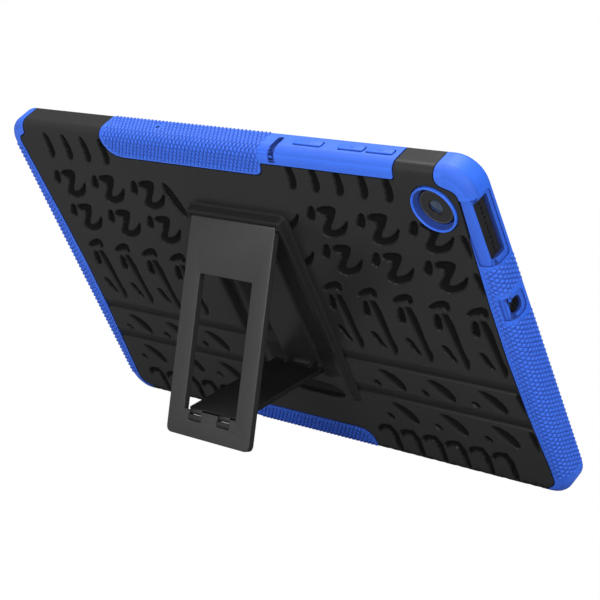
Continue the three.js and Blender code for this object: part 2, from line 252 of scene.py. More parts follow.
def rubbedEdgeGroup():
    group, given, out = socketGroup(
        "rubbedEdge",
        [("Amount", "NodeSocketFloat", 0.3), ("Breakup", "NodeSocketFloat", 240.0)],
        [("Mask", "NodeSocketFloat")],
    )
    place = group.nodes.new("ShaderNodeTexCoord")
    shape = group.nodes.new("ShaderNodeNewGeometry")
    sharp = group.nodes.new("ShaderNodeMapRange")
    sharp.inputs["From Min"].default_value = 0.52
    sharp.inputs["From Max"].default_value = 0.62
    noise = group.nodes.new("ShaderNodeTexNoise")
    noise.inputs["Detail"].default_value = 6
    broken = group.nodes.new("ShaderNodeMath")
    broken.operation = "MULTIPLY"
    scaled = group.nodes.new("ShaderNodeMath")
    scaled.operation = "MULTIPLY"
    link = group.links.new
    link(place.outputs["Object"], noise.inputs["Vector"])
    link(given.outputs["Breakup"], noise.inputs["Scale"])
    link(shape.outputs["Pointiness"], sharp.inputs["Value"])
    link(sharp.outputs["Result"], broken.inputs[0])
    link(noise.outputs["Fac"], broken.inputs[1])
    link(broken.outputs[0], scaled.inputs[0])
    link(given.outputs["Amount"], scaled.inputs[1])
    link(scaled.outputs[0], out.inputs["Mask"])
    return group


mouldGrain = mouldGrainGroup()
rubbedEdge = rubbedEdgeGroup()


def mouldedMaterial(name, look):
    material = bpy.data.materials.new(name)
    material.use_nodes = True
    nodes, link = material.node_tree.nodes, material.node_tree.links.new
    shader = nodes["Principled BSDF"]
    shader.inputs["Specular IOR Level"].default_value = look["specular"]
    shader.inputs["Coat Weight"].default_value = look.get("coat", 0)
    shader.inputs["Coat Roughness"].default_value = look.get("coatRoughness", 0.3)
    shader.inputs["Sheen Weight"].default_value = look.get("sheen", 0)
    shader.inputs["Metallic"].default_value = look.get("metallic", 0)
    grain = nodes.new("ShaderNodeGroup")
    grain.node_tree = mouldGrain
    grain.inputs["Scale"].default_value = look["grainScale"]
    grain.inputs["Patches"].default_value = look["patches"]
    rubbed = nodes.new("ShaderNodeGroup")
    rubbed.node_tree = rubbedEdge
    rubbed.inputs["Amount"].default_value = look["rubbed"]
    tone = nodes.new("ShaderNodeMix")
    tone.data_type = "RGBA"
    tone.inputs["A"].default_value = (*look["darkTone"], 1)
    tone.inputs["B"].default_value = (*look["lightTone"], 1)
    worn = nodes.new("ShaderNodeMix")
    worn.data_type = "RGBA"
    worn.inputs["B"].default_value = (*look["wornTone"], 1)
    gloss = nodes.new("ShaderNodeMapRange")
    gloss.inputs["From Min"].default_value = 0.3
    gloss.inputs["From Max"].default_value = 0.7
    gloss.inputs["To Min"].default_value = look["roughness"] - look["roughnessSpread"]
    gloss.inputs["To Max"].default_value = look["roughness"] + look["roughnessSpread"]
    bump = nodes.new("ShaderNodeBump")
    bump.inputs["Strength"].default_value = look["bump"]
    bump.inputs["Distance"].default_value = 0.0001
    link(grain.outputs["Patchiness"], tone.inputs["Factor"])
    link(tone.outputs["Result"], worn.inputs["A"])
    last, dullness = worn.outputs["Result"], gloss.outputs["Result"]
    if "paintedShadeTone" in look:  # painted shade: recesses are painted darker, and made rougher, than the flats round them
        shadeMask = nodes.new("ShaderNodeAttribute")
        shadeMask.attribute_name = "paintedShade"
        sunk = nodes.new("ShaderNodeMix")
        sunk.data_type = "RGBA"
        sunk.inputs["B"].default_value = (*look["paintedShadeTone"], 1)
        link(last, sunk.inputs["A"])
        link(shadeMask.outputs["Fac"], sunk.inputs["Factor"])
        last = sunk.outputs["Result"]
        dull = nodes.new("ShaderNodeMix")
        dull.inputs["B"].default_value = 0.95
        link(shadeMask.outputs["Fac"], dull.inputs["Factor"])
        link(gloss.outputs["Result"], dull.inputs["A"])
        dullness = dull.outputs["Result"]
    link(rubbed.outputs["Mask"], worn.inputs["Factor"])
    link(last, shader.inputs["Base Color"])
    link(grain.outputs["Patchiness"], gloss.inputs["Value"])
    link(dullness, shader.inputs["Roughness"])
    link(grain.outputs["Height"], bump.inputs["Height"])
    link(bump.outputs["Normal"], shader.inputs["Normal"])
    return material


# Where a material has a recess tone, shaded recesses are painted towards that colour as painted shade.
shellBlack = mouldedMaterial("shellBlack", {
    "darkTone": (0.0125, 0.0125, 0.0127), "lightTone": (0.0165, 0.0165, 0.0167),
    "wornTone": (0.030, 0.030, 0.030),
    "paintedShadeTone": (0.0006, 0.0006, 0.0006),
    "roughness": 0.33, "roughnessSpread": 0.03, "specular": 0.24, "grainScale": 1800.0, "patches": 35.0,
    "rubbed": 0.12, "bump": 0.12})
standGrey = mouldedMaterial("standGrey", {
    "darkTone": (0.0175, 0.0175, 0.0177), "lightTone": (0.0225, 0.0225, 0.0227),
    "wornTone": (0.05, 0.05, 0.05),
    "paintedShadeTone": (0.0015, 0.0015, 0.0015),
    "roughness": 0.40, "roughnessSpread": 0.04, "specular": 0.5, "grainScale": 1500.0, "patches": 40.0,
    "rubbed": 0.4, "bump": 0.14})
strutBlack = mouldedMaterial("strutBlack", {
    "darkTone": (0.0032, 0.0032, 0.0033), "lightTone": (0.0048, 0.0048, 0.0049),
    "wornTone": (0.03, 0.03, 0.03),
    "roughness": 0.45, "roughnessSpread": 0.04, "specular": 0.4, "grainScale": 1500.0, "patches": 40.0,
    "rubbed": 0.3, "bump": 0.12})
sleeveBlue = mouldedMaterial("sleeveBlue", {
    "darkTone": (0.009, 0.088, 0.56), "lightTone": (0.012, 0.106, 0.63), "wornTone": (0.05, 0.19, 0.80),
    "paintedShadeTone": (0.002, 0.018, 0.15),
    "roughness": 0.50, "roughnessSpread": 0.05, "specular": 0.45, "grainScale": 2200.0, "patches": 28.0,
    "rubbed": 0.25, "bump": 0.10, "sheen": 0.05})
pinSteel = mouldedMaterial("pinSteel", {
    "darkTone": (0.42, 0.42, 0.43), "lightTone": (0.52, 0.52, 0.53), "wornTone": (0.7, 0.7, 0.7),
    "roughness": 0.32, "roughnessSpread": 0.06, "specular": 0.5, "grainScale": 3000.0, "patches": 200.0,
    "rubbed": 0.3, "bump": 0.06, "metallic": 1.0})
tabletGlass = mouldedMaterial("tabletGlass", {
    "darkTone": (0.004, 0.004, 0.005), "lightTone": (0.006, 0.006, 0.007), "wornTone": (0.02, 0.02, 0.02),
    "roughness": 0.12, "roughnessSpread": 0.02, "specular": 0.5, "grainScale": 300.0, "patches": 20.0,
    "rubbed": 0.1, "bump": 0.0})
tabletGrey = mouldedMaterial("tabletGrey", {
    "darkTone": (0.03, 0.031, 0.034), "lightTone": (0.036, 0.037, 0.04), "wornTone": (0.08, 0.08, 0.08),
    "roughness": 0.38, "roughnessSpread": 0.03, "specular": 0.5, "grainScale": 1500.0, "patches": 40.0,
    "rubbed": 0.2, "bump": 0.08})
lensBlue = mouldedMaterial("lensBlue", {
    "darkTone": (0.004, 0.012, 0.03), "lightTone": (0.008, 0.03, 0.07), "wornTone": (0.02, 0.05, 0.1),
    "roughness": 0.08, "roughnessSpread": 0.01, "specular": 0.7, "grainScale": 500.0, "patches": 200.0,
    "rubbed": 0.1, "bump": 0.0, "coat": 1.0, "coatRoughness": 0.03})
print("materials ready")

# The black back shell is one sheet, drawn flat and then wrapped over the long edges.
shell = {"thickness": 1.6, "seam": 0.26, "edgeRound": 0.35, "end": 88.4, "cell": 0.5, "lensHole": 10.05,
         "borderStep": 1.2, "pointGap": 0.42, "underGap": 0.8, "holeGap": 0.4, "normalStep": 0.12, "edgeTilt": 1.2}
lensPlace = {"u": 108.0, "v": 60.8}
lensCentre = np.array([lensPlace["u"], lensPlace["v"]])
shellUnder = -shell["thickness"] + 0.05
far = shell["end"]
shellCorners = [
    (115, -far), (115, -75.5, 1), (120.4, -71.5, 3), (120.2, -62), (118.4, -36), (117.7, -8),
    (118.2, 18), (119.6, 45), (120.9, 69.3, 3.2), (112.6, 71.9, 2.6), (112.5, far),
    (94, far), (94, 72, 2), (27.3, 72, 1), (25.8, 66, 4), (-64.3, 66, 10), (-64.5, far),
    (-115.5, far), (-114.9, 72.8, 1.8), (-120.6, 70.2, 2.6), (-118.2, 30), (-117.1, 0),
    (-117.6, -25), (-119, -50), (-120.2, -71.5, 3), (-113.3, -74.8, 1.5), (-113, -far),
    (-43.5, -far), (-43.2, -66.5, 8), (28.3, -66.5, 8), (28.6, -far),
]
border = rounded(shellCorners, 6)

# A tread mark has an outline, the rows and columns it repeats in, its depth and how wide its wall
# is. It is deepest towards deepSide, and keeps the shallow share of its depth on the other side.
longPitch, tallPitch, ribPitch, lowRow = 25.2, 17.85, 11.9, 18.3
hookOutline = [
    (47.8, 50.9), (49.3, 54), (58.3, 55.2), (57, 51.6), (50.4, 43.3), (54.2, 43.3), (58, 45.2),
    (62, 48.8), (59, 43.2), (54.6, 40.7), (49.4, 39.3), (45.6, 41.2), (53.8, 50.6)]
treadMarks = [
    {"outline": [(40.6, 74), (43, 74), (43.4, 66), (41.6, 61.8), (38.2, 60.4), (39.8, 65)],
     "drops": [0], "pitch": ribPitch, "copies": [-12, -11, -10, -9, 0, 1, 2, 3, 4],
     "depth": 1.45, "wall": 1.5, "deepSide": (0.9, 0.3), "shallow": 0.35},
    {"outline": [(41.2, 47.4), (43.6, 46.4), (46, 49.4), (46.8, 53.8), (44.6, 53.4), (42.4, 50)],
     "drops": [0, lowRow], "pitch": longPitch, "copies": [-6, -5, -4, 0, 1, 2],
     "depth": 1.45, "wall": 1.3, "deepSide": (0.3, 1), "shallow": 0.7},
    {"outline": hookOutline, "drops": [0, lowRow], "pitch": longPitch, "copies": [-6, -5, -4, 0, 1, 2],
     "depth": 1.5, "wall": 1.2, "deepSide": (0.7, 0.7), "shallow": 0.35},
    {"outline": hookOutline[4:12], "drops": [0, lowRow], "pitch": longPitch, "copies": [-1],
     "depth": 1.5, "wall": 1.2, "deepSide": (0.7, 0.7), "shallow": 0.35},
    {"outline": [(33.4, 10.8), (36.8, 14.6), (44.8, 17.2), (44.4, 12.4), (42, 11.6), (41.8, 13.6)],
     "drops": [0], "pitch": tallPitch, "copies": [-8, -7, -6, -5, 0, 1, 2, 3, 4],
     "depth": 1.45, "wall": 1.3, "deepSide": (0.4, 0.9), "shallow": 0.5},
    {"outline": [(33.2, 1), (35.6, 9), (38.2, 9), (36.8, 1)],
     "drops": [0], "pitch": tallPitch, "copies": [-8, -7, -6, -5, 0, 1, 2, 3, 4],
     "depth": 1.5, "wall": 0.8, "deepSide": (0.5, 0.8), "shallow": 0.9},
    {"outline": [
        (38.9, 8.6), (40, 10), (43.2, 9.6), (43.6, -10), (44.8, -12.6), (43.4, -17), (40.6, -18.2),
        (39.2, -14.5), (38.8, -8)],
     "drops": [0], "pitch": tallPitch, "copies": [-8, -7, -6, -5, 0, 1, 2, 3, 4],
     "depth": 1.4, "wall": 1.6, "deepSide": (0.95, 0.1), "shallow": 0.0},
    {"outline": [(33.2, -7.2), (36.1, -7.0), (37.7, -11.5), (38.8, -14.2), (36.6, -14.6), (34.3, -10.5)],
     "drops": [0], "pitch": tallPitch, "copies": [-8, -7, -6, -5, 0, 1, 2, 3, 4],
     "depth": 1.45, "wall": 1.0, "deepSide": (0.5, 0.8), "shallow": 0.7},
    {"outline": [(46, -28.8), (49.4, -27.6), (55.8, -30.2), (58.8, -35), (57, -38.2), (50, -34.4)],
     "drops": [0, lowRow], "pitch": longPitch, "copies": [-6, -5, -4, 0, 1, 2],
     "depth": 1.55, "wall": 0.9, "deepSide": (0.7, 0.7), "shallow": 0.1},
    {"outline": [(41.4, -35.6), (43.4, -34.6), (45.2, -36.6), (43.4, -37.8)],
     "drops": [0, lowRow], "pitch": longPitch, "copies": [-6, -5, -4, 0, 1, 2],
     "depth": 1.4, "wall": 0.6, "deepSide": (0.5, 0.8), "shallow": 0.8},
    {"outline": [
        (32.4, -64.4), (35.2, -61.2), (42.9, -60.4), (42.7, -76), (40.4, -76), (40.2, -67),
        (38.8, -63.2), (35.8, -63.2), (33.2, -65.6)],
     "drops": [0], "pitch": ribPitch, "copies": [-12, -11, -10, -9, -8, 0, 1, 2, 3, 4, 5],
     "depth": 1.5, "wall": 1.2, "deepSide": (0.8, 0.3), "shallow": 0.75},
    {"outline": [
        (-37.9, 51.2), (-36.2, 55.4), (-33.4, 53.4), (-29.8, 43.8), (-29.6, 38.6), (-32.2, 38.4), (-35.4, 44)],
     "drops": [0], "pitch": longPitch, "copies": [0],
     "depth": 1.35, "wall": 1.5, "deepSide": (-1, 0.2), "shallow": 0.4},
    {"outline": [(116.4, 50), (119.4, 50), (118.9, 40), (117.2, 40.2)],
     "drops": [0, 17, 75, 95], "pitch": 1.0, "copies": [-1],
     "depth": 1.3, "wall": 0.9, "deepSide": (1, 0.3), "shallow": 0.3},
]
# The tone keys set how strongly the shell's relief gets painted shade.
relief = {"shadeSide": (0.6, 0.8), "paintedShadeFrom": 0.25, "paintedShadeSpan": 0.45, "spread": 0.4,
          "valleyPaintedShade": 0.5, "bayPaintedShade": 0.6}
valleys = {"rows": [(-20.0, -25.4, -26.4), (-38.0, -43.4, -44.4)], "depth": 0.95}
bay = {"half": 23.9, "low": -49.5, "high": 45.0, "sink": 0.2, "troughInner": 10.0, "troughOuter": 21.5,
       "trough": 1.15, "troughEnd": -40.0, "thumbDepth": 1.4}
thumbCorners = [(-12, -43.5), (14, -43), (20.5, -46), (21, -51.5), (2, -52), (-14, -51), (-17, -48)]
thumbRecess = smoothed(np.array(thumbCorners), 2)


def treadCopies():
    for mark in treadMarks:
        outline = smoothed(widened(np.array(mark["outline"], float), relief["spread"]), 1)
        for drop in mark["drops"]:
            for copy in mark["copies"]:
                yield mark, outline + np.array([copy * mark["pitch"], -drop])


def shellHeight(u, s):
    depth = np.zeros(len(u))
    for mark, outline in treadCopies():
        low, high = outline.min(0) - 1, outline.max(0) + 1
        near = np.flatnonzero((u > low[0]) & (u < high[0]) & (s > low[1]) & (s < high[1]))
        if not len(near):
            continue
        un, sn = u[near], s[near]
        brink = softStep((0.15 - outlineDistance(un, sn, outline)) / 0.5)
        slope = np.clip(brinkReach(un, sn, outline, relief["shadeSide"]) / mark["wall"], 0, 1)
        wall = brink * (1 - (1 - slope) ** 1.6)
        way = np.array(mark["deepSide"]) / np.hypot(*mark["deepSide"])
        reach = outline @ way
        share = (un * way[0] + sn * way[1] - reach.min()) / (reach.max() - reach.min())
        ramp = mark["shallow"] + (1 - mark["shallow"]) * np.clip(share, 0, 1)
        depth[near] = np.maximum(depth[near], mark["depth"] * wall * ramp)
    for top, deepest, bottom in valleys["rows"]:
        down = np.clip((top - s) / (top - deepest), 0, 1)
        back = softStep((s - bottom) / (deepest - bottom))
        valley = valleys["depth"] * np.where(s > deepest, down ** 1.4, back)
        depth = np.maximum(depth, valley)
    across = np.abs(u - standPlace["centre"])
    inBay = softStep((bay["half"] - across) / 0.6) * softStep((s - bay["low"]) / 0.8)
    inBay *= softStep((bay["high"] - s) / 0.6)
    pastInner = across - bay["troughInner"]
    climb = softStep((pastInner - 1) / (bay["troughOuter"] - bay["troughInner"]))
    fall = softStep(pastInner / 0.8) * (1 - climb)
    bayDepth = bay["sink"] + bay["trough"] * fall * softStep((s - bay["troughEnd"]) / 2)
    depth = depth * (1 - inBay) + bayDepth * inBay
    near = np.flatnonzero((np.abs(u) < 24) & (s > -56) & (s < -40))
    if len(near):
        dome = outlineDistance(u[near], s[near], thumbRecess)
        depth[near] = np.maximum(depth[near], bay["thumbDepth"] * softStep((0.2 - dome) / 2.0))
    return -depth


def onBend(s):
    return (np.abs(s) > flatHalfV - 1) & (np.abs(s) < flatHalfV + 8)


# Points on a square grid, close together only where the sheet isn't plain.
def latticePoints():
    cell = shell["cell"]
    countU, countS = int(122 / cell), int(shell["end"] / cell)
    i, j = np.meshgrid(np.arange(-countU, countU + 1), np.arange(-countS, countS + 1), indexing="ij")
    u, s = i * cell, j * cell
    keep = (i % 6 == 0) & (j % 6 == 0)
    keep |= onBend(s) & (i % 8 == 0) & (j % 2 == 0)
    for top, _, bottom in valleys["rows"]:
        keep |= (s < top + 0.6) & (s > bottom - 1) & (i % 2 == 0)
    across = np.abs(u - standPlace["centre"])
    keep |= (across < 27) & (s > -50) & (s < 48) & (j % 3 == 0)
    keep |= (np.abs(u) < 24) & (s > -55) & (s < -41)
    for _, outline in treadCopies():
        low, high = outline.min(0) - 1.2, outline.max(0) + 1.2
        i0, i1 = int(low[0] / cell) + countU, int(high[0] / cell) + countU + 1
        j0, j1 = int(low[1] / cell) + countS, int(high[1] / cell) + countS + 1
        i0, i1, j0, j1 = max(i0, 0), min(i1, u.shape[0]), max(j0, 0), min(j1, u.shape[1])
        if i0 >= i1 or j0 >= j1:
            continue
        boxU, boxS = u[i0:i1, j0:j1], s[i0:i1, j0:j1]
        d = outlineDistance(boxU.ravel(), boxS.ravel(), outline).reshape(boxU.shape)
        keep[i0:i1, j0:j1] |= d < 0.85
    return u, s, keep


def cleared(u, s, keep, ring, distance):
    cell = shell["cell"]
    countU, countS = (u.shape[0] - 1) // 2, (u.shape[1] - 1) // 2
    reach = int(distance / cell) + 1
    for x, y in ring:
        ci, cj = int(round(x / cell)) + countU, int(round(y / cell)) + countS
        i0, i1 = max(ci - reach, 0), min(ci + reach + 1, u.shape[0])
        j0, j1 = max(cj - reach, 0), min(cj + reach + 1, u.shape[1])
        if i0 < i1 and j0 < j1:
            keep[i0:i1, j0:j1] &= np.hypot(u[i0:i1, j0:j1] - x, s[i0:i1, j0:j1] - y) > distance
    return keep


def triangulated(rings, loose):
    points = np.concatenate([*rings, loose])
    edges, start = [], 0
    for ring in rings:
        count = len(ring)
        edges += [(start + i, start + (i + 1) % count) for i in range(count)]
        start += count
    made = delaunay_2d_cdt([Vector(p) for p in points.tolist()], edges, [], 0, 1e-7)
    flat = np.array([tuple(p) for p in made[0]])
    triangles = np.array(made[2])
    middle = flat[triangles].mean(1)
    return flat, triangles, middle, made[3]


def ringNormals(ring):
    way = 1 if signedArea(ring) > 0 else -1
    along = np.roll(ring, -1, 0) - np.roll(ring, 1, 0)
    normal = np.stack([along[:, 1], -along[:, 0]], 1) * way
    return normal / np.linalg.norm(normal, axis=1)[:, None]


def onShell(points, outer, reach):
    fromLens = np.hypot(*(points - lensCentre).T)
    return insideOutline(points[:, 0], points[:, 1], outer) & (fromLens > reach)


def unitRows(vectors):
    return vectors / np.linalg.norm(vectors, axis=1)[:, None]


# Shading normals of the relief, from its height a small step away on each side.
def reliefNormals(flat):
    step, sides = shell["normalStep"], []
    for du, ds in ((step, 0), (-step, 0), (0, step), (0, -step)):
        pu, ps = flat[:, 0] + du, flat[:, 1] + ds
        sides.append(overLongEdge(pu, ps, shellHeight(pu, ps)))
    return unitRows(np.cross(sides[0] - sides[1], sides[2] - sides[3]))


# The way out over the sheet's edge, once the sheet is wrapped.
def edgeWay(flat, way, height):
    ahead = overLongEdge(flat[:, 0] + way[:, 0] * 0.01, flat[:, 1] + way[:, 1] * 0.01, height)
    return ahead - overLongEdge(flat[:, 0], flat[:, 1], height)


def addSkirt(sheet, ring, out, top, height, flip):
    low = overLongEdge(ring[:, 0], ring[:, 1], np.full(len(ring), shellUnder))
    outward = unitRows(edgeWay(ring, out, height))
    start, count = sum(len(part) for part in sheet["points"]), len(ring)
    sheet["points"] += [top, low]
    sheet["normals"] += [outward, outward]
    way = signedArea(ring) > 0
    for i in range(count):
        a, b = start + i, start + (i + 1) % count
        c, d = b + count, a + count
        sheet["faces"].append((a, d, c, b) if way != flip else (a, b, c, d))


def addUnderside(sheet, rings, outer, hole, u, s):
    i, j = np.arange(u.shape[0])[:, None], np.arange(u.shape[1])[None, :]
    coarse = (i % 12 == 0) & (j % 12 == 0)
    coarse |= onBend(s) & (i % 24 == 0) & (j % 3 == 0)
    for ring in (outer, hole):
        coarse = cleared(u, s, coarse, ring, shell["underGap"])
    loose = np.stack([u[coarse], s[coarse]], 1)
    loose = loose[onShell(loose, outer, shell["lensHole"] + shell["holeGap"])]
    flat, triangles, middle, _ = triangulated(rings, loose)
    triangles = triangles[onShell(middle, outer, shell["lensHole"] * 0.998)]
    low = overLongEdge(flat[:, 0], flat[:, 1], np.full(len(flat), shellUnder))
    below = overLongEdge(flat[:, 0], flat[:, 1], np.full(len(flat), shellUnder - 1)) - low
    start = sum(len(part) for part in sheet["points"])
    sheet["points"].append(low)
    sheet["normals"].append(below)
    sheet["faces"] += [(start + c, start + b, start + a) for a, b, c in triangles.tolist()]


# Painted shade for the back shell: deeper relief is painted darker, less so in the valleys and the bay, and the
# seam's edge fully.
def shellPaintedShade(flat, height, outerIndex):
    tone = softStep((-height - relief["paintedShadeFrom"]) / relief["paintedShadeSpan"])
    for top, _, bottom in valleys["rows"]:
        tone *= np.where((flat[:, 1] < top) & (flat[:, 1] > bottom), relief["valleyPaintedShade"], 1)
    across = np.abs(flat[:, 0] - standPlace["centre"])
    inBay = (across < bay["half"] + 0.5) & (flat[:, 1] > bay["low"]) & (flat[:, 1] < bay["high"])
    tone *= np.where(inBay, relief["bayPaintedShade"], 1)
    tone[outerIndex] = 1  # painted shade: the seam's edge is painted fully dark, so the gap reads as a thin dark line
    return tone


def buildShell():
    outer = subdivided(widened(border, -shell["seam"]), shell["borderStep"])
    turn = np.linspace(0, 2 * math.pi, 97)[:-1]
    circle = np.stack([np.cos(turn), np.sin(turn)], 1)
    hole = lensCentre + circle * shell["lensHole"]
    outerOut, holeOut = ringNormals(outer), -circle
    rings = [outer, outer - outerOut * shell["edgeRound"], hole, hole - holeOut * shell["edgeRound"]]
    u, s, keep = latticePoints()
    for ring in rings:
        keep = cleared(u, s, keep, ring, shell["pointGap"])
    loose = np.stack([u[keep], s[keep]], 1)
    loose = loose[onShell(loose, outer, shell["lensHole"] + shell["holeGap"])]
    flat, triangles, middle, origin = triangulated(rings, loose)
    triangles = triangles[onShell(middle, outer, shell["lensHole"] * 0.998)]
    place = {source: index for index, sources in enumerate(origin) for source in sources}
    outerIndex = [place[i] for i in range(len(outer))]
    holeIndex = [place[2 * len(outer) + i] for i in range(len(hole))]

    drop, tilt = np.zeros(len(flat)), np.zeros((len(flat), 2))
    drop[outerIndex], drop[holeIndex] = shell["edgeRound"] * 0.7, shell["edgeRound"] * 0.7
    tilt[outerIndex], tilt[holeIndex] = outerOut, holeOut
    height = shellHeight(flat[:, 0], flat[:, 1])
    points = overLongEdge(flat[:, 0], flat[:, 1], height - drop)
    normals = reliefNormals(flat)
    way = edgeWay(flat, tilt, height)
    tilted = np.linalg.norm(way, axis=1) > 1e-6
    normals[tilted] += unitRows(way[tilted]) * shell["edgeTilt"]

    sheet = {"points": [points], "normals": [unitRows(normals)], "faces": [tuple(t) for t in triangles.tolist()]}
    for index, out, flip in ((outerIndex, outerOut, False), (holeIndex, holeOut, True)):
        addSkirt(sheet, flat[index], out, points[index], height[index], flip)
    addUnderside(sheet, [flat[outerIndex], flat[holeIndex]], outer, hole, u, s)
    allPoints = np.concatenate(sheet["points"])
    print("shell", len(allPoints), "points", len(sheet["faces"]), "faces")
    piece = makePiece("backShell", allPoints, sheet["faces"], np.concatenate(sheet["normals"]), shellBlack)
    tone = shellPaintedShade(flat, height, outerIndex)
    # The skirt and the underside get full painted shade.
    setPaintedShade(piece.data, np.concatenate([tone, np.ones(len(allPoints) - len(tone))]))
    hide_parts("outer_shell")


buildShell()
print("back shell ready")

standRim = {"outer": 26.2, "top": 46.6, "bottom": -48.6, "topHeight": 4.4, "bottomHeight": 1.6, "turn": 1.6,
            "paintedShade": 0.42}


# Section of the frame round the folded stand: outwards and up, from its outer foot to its inner one.
def rimProfile(height):
    foot = min(1.0, height * 0.6)
    return np.array([
        (1.45, -0.15), (1.0, 0.02), (0.62, 0.16 * foot), (0.34, 0.4 * foot), (0.16, 0.75 * foot),
        (0.06, foot), (-0.10, height - 0.55), (-0.20, height - 0.28), (-0.38, height - 0.10),
        (-0.62, height), (-1.66, height), (-1.90, height - 0.08), (-2.08, height - 0.24),
        (-2.18, height - 0.5), (-2.25, -0.45)])


def buildStandRim():
    half, turn = standRim["outer"], standRim["turn"]
    rise = (standRim["topHeight"] - standRim["bottomHeight"]) / (standRim["top"] - standRim["bottom"])
    stations = []
    for share, drop in ((-1.1, 1.72), (-0.75, 0.9), (-0.3, 0.3), (0.4, 0.05)):
        stations.append((-half, standRim["bottom"] + share, -1, 0, drop))
    for v in np.linspace(standRim["bottom"] + 2, standRim["top"] - turn, 18):
        stations.append((-half, v, -1, 0, 0))
    for angle in np.linspace(0, math.pi / 2, 9)[1:]:
        out = (-math.cos(angle), math.sin(angle))
        stations.append((-half + turn + out[0] * turn, standRim["top"] - turn + out[1] * turn, *out, 0))
    for u in np.linspace(-half + turn, half - turn, 12)[1:]:
        stations.append((u, standRim["top"], 0, 1, 0))
    mirrored = [(-u, v, -x, y, drop) for u, v, x, y, drop in reversed(stations[:-12])]
    stations += mirrored
    points, faces = [], []
    for u, v, x, y, drop in stations:
        height = standRim["bottomHeight"] + rise * (v - standRim["bottom"]) - drop
        for across, up in rimProfile(max(height, 0.02)):
            points.append((standPlace["centre"] + u + x * across, v + y * across, min(up, height)))
    count = len(rimProfile(1))
    for k in range(len(stations) - 1):
        for i in range(count - 1):
            a, b = k * count + i, k * count + i + 1
            faces.append((a, b, b + count, a + count))
        faces.append((k * count + count - 1, k * count, (k + 1) * count, (k + 1) * count + count - 1))
    last = (len(stations) - 1) * count
    faces.append(tuple(reversed(range(count))))
    faces.append(tuple(last + i for i in range(count)))
    piece = makePiece("standRim", points, faces, None, shellBlack)
    shadeByAngle(piece, 35)
    # The whole rim gets an even painted shade, darker than the shell round it.
    setPaintedShade(piece.data, np.full(len(piece.data.vertices), standRim["paintedShade"]))


def shadeByAngle(piece, degrees):
    mesh = piece.data
    fixNormals(mesh)
    mesh.set_sharp_from_angle(angle=math.radians(degrees))


def fixNormals(mesh):
    work = bmesh.new()
    work.from_mesh(mesh)
    bmesh.ops.remove_doubles(work, verts=work.verts, dist=1e-7)
    bmesh.ops.recalc_face_normals(work, faces=work.faces)
    work.to_mesh(mesh)
    work.free()
    mesh.polygons.foreach_set("use_smooth", [True] * len(mesh.polygons))


buildStandRim()


# A plate of the given outlines, holes included, with rounded edges.
def plateMesh(name, outlines, low, high, edge=0.3, steps=3):
    curve = bpy.data.curves.new(name, "CURVE")
    curve.dimensions = "2D"
    curve.fill_mode = "BOTH"
    curve.extrude = (high - low) / 2 - edge
    curve.bevel_depth = edge
    curve.bevel_resolution = steps
    curve.offset = -edge
    for outline in outlines:
        spline = curve.splines.new("POLY")
        spline.points.add(len(outline) - 1)
        spline.points.foreach_set("co", [x for p in outline for x in (p[0], p[1], 0, 1)])
        spline.use_cyclic_u = True
    holder = bpy.data.objects.new(name, curve)
    bpy.context.scene.collection.objects.link(holder)
    bpy.context.view_layer.update()
    mesh = bpy.data.meshes.new_from_object(holder.evaluated_get(bpy.context.evaluated_depsgraph_get()))
    bpy.data.objects.remove(holder)
    bpy.data.curves.remove(curve)
    mesh.transform(Matrix.Translation((0, 0, (low + high) / 2)))
    points = np.array([v.co for v in mesh.vertices])
    faces = [tuple(p.vertices) for p in mesh.polygons]
    bpy.data.meshes.remove(mesh)
    return points, faces


def rodMesh(radius, low, high, y, z, edge=0.15, segments=32):
    near = [(low, 0), (low, radius - edge), (low + edge * 0.3, radius - edge * 0.3), (low + edge, radius)]
    profile = near + [(low + high - x, r) for x, r in reversed(near)]
    points, faces = [], []
    for x, r in profile:
        for k in range(segments):
            angle = 2 * math.pi * k / segments
            points.append((x, y + r * math.cos(angle), z + r * math.sin(angle)))
    for i in range(len(profile) - 1):
        for k in range(segments):
            a, b = i * segments + k, i * segments + (k + 1) % segments
            faces.append((a, b, b + segments, a + segments))
    return np.array(points), faces


def joined(parts):
    points, faces, start = [], [], 0
    for part, sides in parts:
        points.append(np.asarray(part))
        faces += [tuple(start + i for i in side) for side in sides]
        start += len(part)
    return np.concatenate(points), faces


def rectangle(lowX, highX, lowY, highY, reach=0.0, steps=4):
    corners = [(lowX, lowY), (highX, lowY), (highX, highY), (lowX, highY)]
    return rounded([(x, y, reach) for x, y in corners], steps)


# Turns a part drawn lying flat about its hinge, and puts it in its place on the case.
def swung(points, angle, u, v, w):
    c, s = math.cos(angle), math.sin(angle)
    x, y, z = np.asarray(points).T
    return np.stack([x + u, c * y - s * z + v, s * y + c * z + w], 1)


def cutWith(piece, cutterPoints, cutterFaces, inRow=False):
    cutter = makePiece(piece.name + "Cutter", cutterPoints, cutterFaces, body=None, inRow=inRow)
    fixNormals(cutter.data)
    cut = piece.modifiers.new("cut", "BOOLEAN")
    cut.operation, cut.solver, cut.object = "DIFFERENCE", "EXACT", cutter
    bpy.context.view_layer.update()
    mesh = bpy.data.meshes.new_from_object(piece.evaluated_get(bpy.context.evaluated_depsgraph_get()))
    piece.modifiers.remove(cut)
    old, piece.data = piece.data, mesh
    bpy.data.meshes.remove(old)
    bpy.data.objects.remove(cutter)


def boxMesh(lowX, highX, lowY, highY, lowZ, highZ):
    points = [(x, y, z) for x in (lowX, highX) for y in (lowY, highY) for z in (lowZ, highZ)]
    faces = [(0, 1, 3, 2), (4, 6, 7, 5), (0, 4, 5, 1), (2, 3, 7, 6), (0, 2, 6, 4), (1, 5, 7, 3)]
    return np.array(points, float), faces


